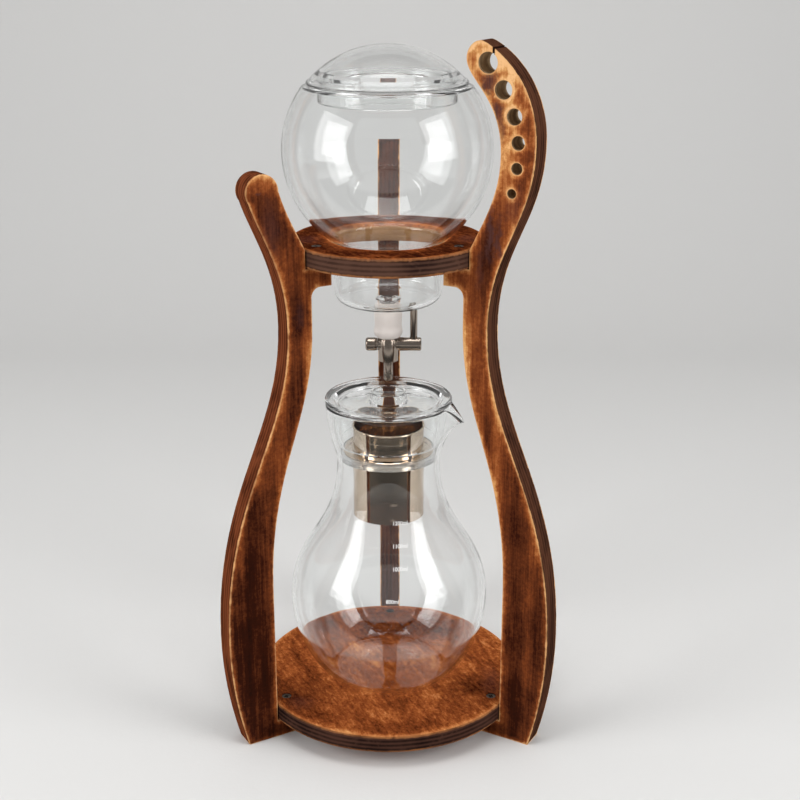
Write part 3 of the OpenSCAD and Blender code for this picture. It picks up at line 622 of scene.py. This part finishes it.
for vert in bm.verts:
    r = math.hypot(vert.co.x, vert.co.y)
    angle = math.degrees(math.atan2(vert.co.y, vert.co.x))
    climb = (vert.co.z - root) / (rimHeight - root)
    if climb <= 0 or abs(angle) > carafeSpout["spread"]:
        continue
    pull = math.cos(math.radians(90 * angle / carafeSpout["spread"])) ** carafeSpout["taper"]
    r += (tipRadius - rim) * pull * climb ** carafeSpout["reachCurve"]
    drop = (rimHeight - tipHeight) * pull * climb ** carafeSpout["dropCurve"]
    turnTo = math.radians(angle * (1 - carafeSpout["pinch"] * pull * climb))
    vert.co = (r * math.cos(turnTo), r * math.sin(turnTo), vert.co.z - drop)
carafeGlass = makePiece(bm, "carafe_glass", "carafe", "clear_glass", glass, ["carafe"])
print("glass done")


# Plain graduations printed on the carafe's front
scalePrint = {
    "marks": [                  # text, place across and height in mm
        ("1200ml", 7.6, 149.5), ("1100ml", 7.6, 136.2), ("1000ml", 7.6, 123.7),
        ("800ml", 2.8, 105.7)],
    "size": 3.3, "thickness": 0.016, "lift": 0.09,     # lift off the glass, mm
    "embolden": 0.012, "curveSteps": 3,
    "ink": {"Base Color": (0.86, 0.86, 0.85, 1), "Roughness": 0.5},
    "grain": (1500.0, 2.0, 0.01),
    "from": -0.2,               # where the print starts its way to the glass, along Y
}

ink = grainedMaterial("scaleInk", scalePrint["ink"], scalePrint["grain"])
surface = bvhtree.BVHTree.FromPolygons([v.co for v in carafeGlass.data.vertices],
                                       [f.vertices for f in carafeGlass.data.polygons])
bm = bmesh.new()
for text, across, height in scalePrint["marks"]:
    curve = bpy.data.curves.new("scaleText", "FONT")
    curve.body, curve.offset = text, scalePrint["embolden"]
    curve.align_x, curve.align_y = "CENTER", "CENTER"
    curve.extrude, curve.resolution_u = scalePrint["thickness"] / 2, scalePrint["curveSteps"]
    holder = bpy.data.objects.new("scaleText", curve)
    printed = bpy.data.meshes.new_from_object(holder)
    known = len(bm.verts)
    bm.from_mesh(printed)
    bm.verts.ensure_lookup_table()
    for vert in bm.verts[known:]:            # flat for now: across, height, thickness
        vert.co = vert.co * scalePrint["size"] * mm + Vector((across * mm, height * mm, 0))
    bpy.data.objects.remove(holder)
    bpy.data.curves.remove(curve)
    bpy.data.meshes.remove(printed)
for vert in bm.verts:
    hit = surface.ray_cast(Vector((vert.co.x, scalePrint["from"], vert.co.y)), Vector((0, 1, 0)))
    vert.co = hit[0] + hit[1] * (scalePrint["lift"] * mm + vert.co.z)
bmesh.ops.remove_doubles(bm, verts=bm.verts, dist=tiny)
bmesh.ops.recalc_face_normals(bm, faces=bm.faces)
makePiece(bm, "carafe_scale", "carafe", "clear_glass", ink)
print("scale done")


cupLook = {
    # the steel's warm cream tint is painted reflection of its warm surroundings
    "steel": {"Base Color": (0.64, 0.53, 0.42, 1), "Metallic": 1.0, "Roughness": 0.07},
    "grain": (500.0, 2.0, 0.01), "stretch": (1, 1, 0.02),       # drawn lines, up the tube
    "seal": {"Base Color": (0.93, 0.94, 0.94, 1), "Roughness": 0.22, "IOR": 1.41,
             "Transmission Weight": 0.9},
    "sealGrain": (300.0, 2.0, 0.05),
    "steps": 96,                # round a full turn
}

cupSteelPaintedReflection = grainedMaterial("cupSteelPaintedReflection", cupLook["steel"], cupLook["grain"],
                           stretch=cupLook["stretch"])
for node in ("filter_cup", "cup_flange"):
    makePiece(spinProfile(cutProfile([node]), cupLook["steps"]), node + "_steel", "cup",
              "cup_steel", cupSteelPaintedReflection, [node])
makePiece(nodeCopy("cup_bottom"), "cup_bottom_steel", "cup", "cup_steel", cupSteelPaintedReflection, ["cup_bottom"])

sealClear = grainedMaterial("clearSilicone", cupLook["seal"], cupLook["sealGrain"])
makePiece(spinProfile(cutProfile(["cup_seal"]), cupLook["steps"]), "cup_seal_ring", "cup",
          "clear_silicone", sealClear, ["cup_seal"])
print("cup done")


valveLook = {
    # the steel's dark brownish colour is painted reflection: it makes the steel look as if it
    # mirrored a dark room
    "steel": {"Base Color": (0.33, 0.275, 0.23, 1), "Metallic": 1.0, "Roughness": 0.19},
    "grain": (1400.0, 3.0, 0.01),
    "flatUnder": 0.2, "sharpOver": 50,    # what is one face and what is an edge, degrees
    "edge": 0.25,               # width of the bevels, mm
    # the sleeve's warm grey is partly painted light: white silicone darkened and warmed for the
    # warm light from its surroundings
    "sleeve": {"Base Color": (0.72, 0.66, 0.62, 1), "Roughness": 0.42, "IOR": 1.41,
               "Subsurface Weight": 0.3, "Subsurface Radius": (0.002, 0.002, 0.002)},
    "sleeveGrain": (500.0, 3.0, 0.04), "sleeveSteps": 72,
    "seals": {"Base Color": (0.03, 0.03, 0.03, 1), "Roughness": 0.6},
    "sealGrain": (900.0, 2.0, 0.03),
}

valveSteelPaintedReflection = grainedMaterial("valveSteelPaintedReflection", valveLook["steel"], valveLook["grain"])
for node, body in (("valve_body", "globe"), ("drip_tip", "globe"), ("valve_plug", "plug"),
                   ("lever_rod", "plug"), ("nut_washer", "plug"), ("retaining_nut", "plug")):
    bm = nodeCopy(node, valveLook["flatUnder"])
    bevelEdges(bm, sharpEdges(bm, valveLook["sharpOver"]), valveLook["edge"] * mm)
    makePiece(bm, node + "_steel", body, "valve_steel", valveSteelPaintedReflection, [node])

whiteSiliconePaintedWarmLight = grainedMaterial("whiteSiliconePaintedWarmLight", valveLook["sleeve"], valveLook["sleeveGrain"])
makePiece(spinProfile(cutProfile(["silicone_sleeve"]), valveLook["sleeveSteps"]),
          "sleeve_silicone", "globe", "white_silicone", whiteSiliconePaintedWarmLight, ["silicone_sleeve"])

dressNode("plug_seals", grainedMaterial("sealRubber", valveLook["seals"], valveLook["sealGrain"]))
print("valve done")


studio = {
    "floor": {"Base Color": (0.70, 0.695, 0.685, 1), "Roughness": 0.75,
              "Emission Color": (1, 0.995, 0.985, 1)},
    "floorGrain": (300.0, 3.0, 0.1),
    "width": 7.0, "height": 3.5,          # of the floor and of the wall behind it, m
    "wallPlace": 1.5, "bend": 0.7, "bendSteps": 24,
    "worldStrength": 0.29,      # what lights the object
    "seenStrength": 0.75,       # what shows beyond the floor and through the glass
    "farLight": (0.8, 2.3, 0.0, 0.42),    # keeps the floor pale far from the lamps, as it is seen
    "card": {"Base Color": (0.03, 0.03, 0.03, 1), "Roughness": 0.9},
    "cardSize": (2.0, 0.40, 1.0), "cardPlace": (0.0, -0.36, 0.001),
    "lamps": [                  # name, place, size, power
        ("softLeft", (-1.25, -0.60, 0.72), (1.02, 1.08), 10.2),
        ("coreLeft", (-1.12, -0.62, 0.70), (0.56, 0.70), 4.0),
        ("softRight", (1.22, -0.66, 0.76), (0.98, 1.08), 9.6),
        ("coreRight", (1.08, -0.66, 0.76), (0.52, 0.70), 3.7),
        ("softTop", (0.0, -0.2, 1.9), (1.2, 0.9), 12.0),
    ],
    "aim": (0, 0, 0.24),
    "bounces": {"max": 16, "glossy": 8, "transmission": 16},    # for light inside the glass walls
}


def seenRays(tree):                          # the camera's rays, also those that pass glass
    rays = newNode(tree, "ShaderNodeLightPath").outputs
    return mathNode(tree, "MAXIMUM", rays["Is Camera Ray"], rays["Is Transmission Ray"])


floorMaterial = grainedMaterial("paperFloor", studio["floor"], studio["floorGrain"])
tree = floorMaterial.node_tree
split = newNode(tree, "ShaderNodeSeparateXYZ",
                {0: newNode(tree, "ShaderNodeTexCoord").outputs["Object"]}).outputs
flat = newNode(tree, "ShaderNodeCombineXYZ", {"X": split["X"],
               "Y": mathNode(tree, "MINIMUM", split["Y"], 0.0)}).outputs[0]
far = vectorNode(tree, "LENGTH", flat).outputs["Value"]
glow = mathNode(tree, "MULTIPLY", seenRays(tree), rangeNode(tree, far, *studio["farLight"]))
tree.links.new(glow, tree.nodes["Principled BSDF"].inputs["Emission Strength"])
bm = bmesh.new()
half = studio["width"] / 2
bm.faces.new([bm.verts.new((x, y, 0)) for x, y in (
    (-half, -half), (half, -half), (half, studio["wallPlace"]), (-half, studio["wallPlace"]))])
back = [e for e in bm.edges if all(abs(v.co.y - studio["wallPlace"]) < tiny for v in e.verts)]
up = bmesh.ops.extrude_edge_only(bm, edges=back)
bmesh.ops.translate(bm, vec=(0, 0, studio["height"]),
                    verts=[g for g in up["geom"] if isinstance(g, bmesh.types.BMVert)])
fold = [e for e in bm.edges if len(e.link_faces) == 2]
bevelEdges(bm, fold, studio["bend"], studio["bendSteps"])
bmesh.ops.recalc_face_normals(bm, faces=bm.faces)
for face in bm.faces:
    face.smooth = True
meshObject(bm, "floor", floorMaterial)

for name, place, size, power in studio["lamps"]:
    lamp = bpy.data.lights.new(name, "AREA")
    lamp.shape = "RECTANGLE"
    lamp.size, lamp.size_y = size
    lamp.energy = power
    lampObject = bpy.data.objects.new(name, lamp)
    lampObject.location = place
    aim = Vector(studio["aim"]) - Vector(place)
    lampObject.rotation_euler = aim.to_track_quat("-Z", "Y").to_euler()
    bpy.context.scene.collection.objects.link(lampObject)

world = bpy.data.worlds.new("studio")
bpy.context.scene.world = world
world.use_nodes = True
sky = world.node_tree
strength = mathNode(sky, "MULTIPLY_ADD", seenRays(sky),
                    studio["seenStrength"] - studio["worldStrength"], studio["worldStrength"])
sky.nodes["Background"].inputs["Color"].default_value = (1, 1, 1, 1)
sky.links.new(strength, sky.nodes["Background"].inputs["Strength"])

# a dark card on the floor in front, which only shows as the dark middle of the steel
cardMaterial, tree, shader = newMaterial("darkCard", studio["card"])
clear = newNode(tree, "ShaderNodeBsdfTransparent").outputs[0]
rays = newNode(tree, "ShaderNodeLightPath").outputs
mirrored = mathNode(tree, "GREATER_THAN", rays["Glossy Depth"], 0.5)
shown = newNode(tree, "ShaderNodeMixShader", {0: mirrored, 1: clear, 2: shader.outputs[0]})
tree.links.new(shown.outputs[0], tree.nodes["Material Output"].inputs["Surface"])
bm = bmesh.new()
bmesh.ops.create_grid(bm, x_segments=1, y_segments=1, size=0.5)
bmesh.ops.scale(bm, vec=studio["cardSize"], verts=bm.verts)
bmesh.ops.translate(bm, vec=studio["cardPlace"], verts=bm.verts)
card = meshObject(bm, "card", cardMaterial)
for ray in ("camera", "diffuse", "volume_scatter", "shadow"):
    setattr(card, "visible_" + ray, False)
bpy.context.scene.view_settings.view_transform = "Standard"
for kind, count in studio["bounces"].items():
    setattr(bpy.context.scene.cycles, kind + "_bounces", count)
print("stage set")
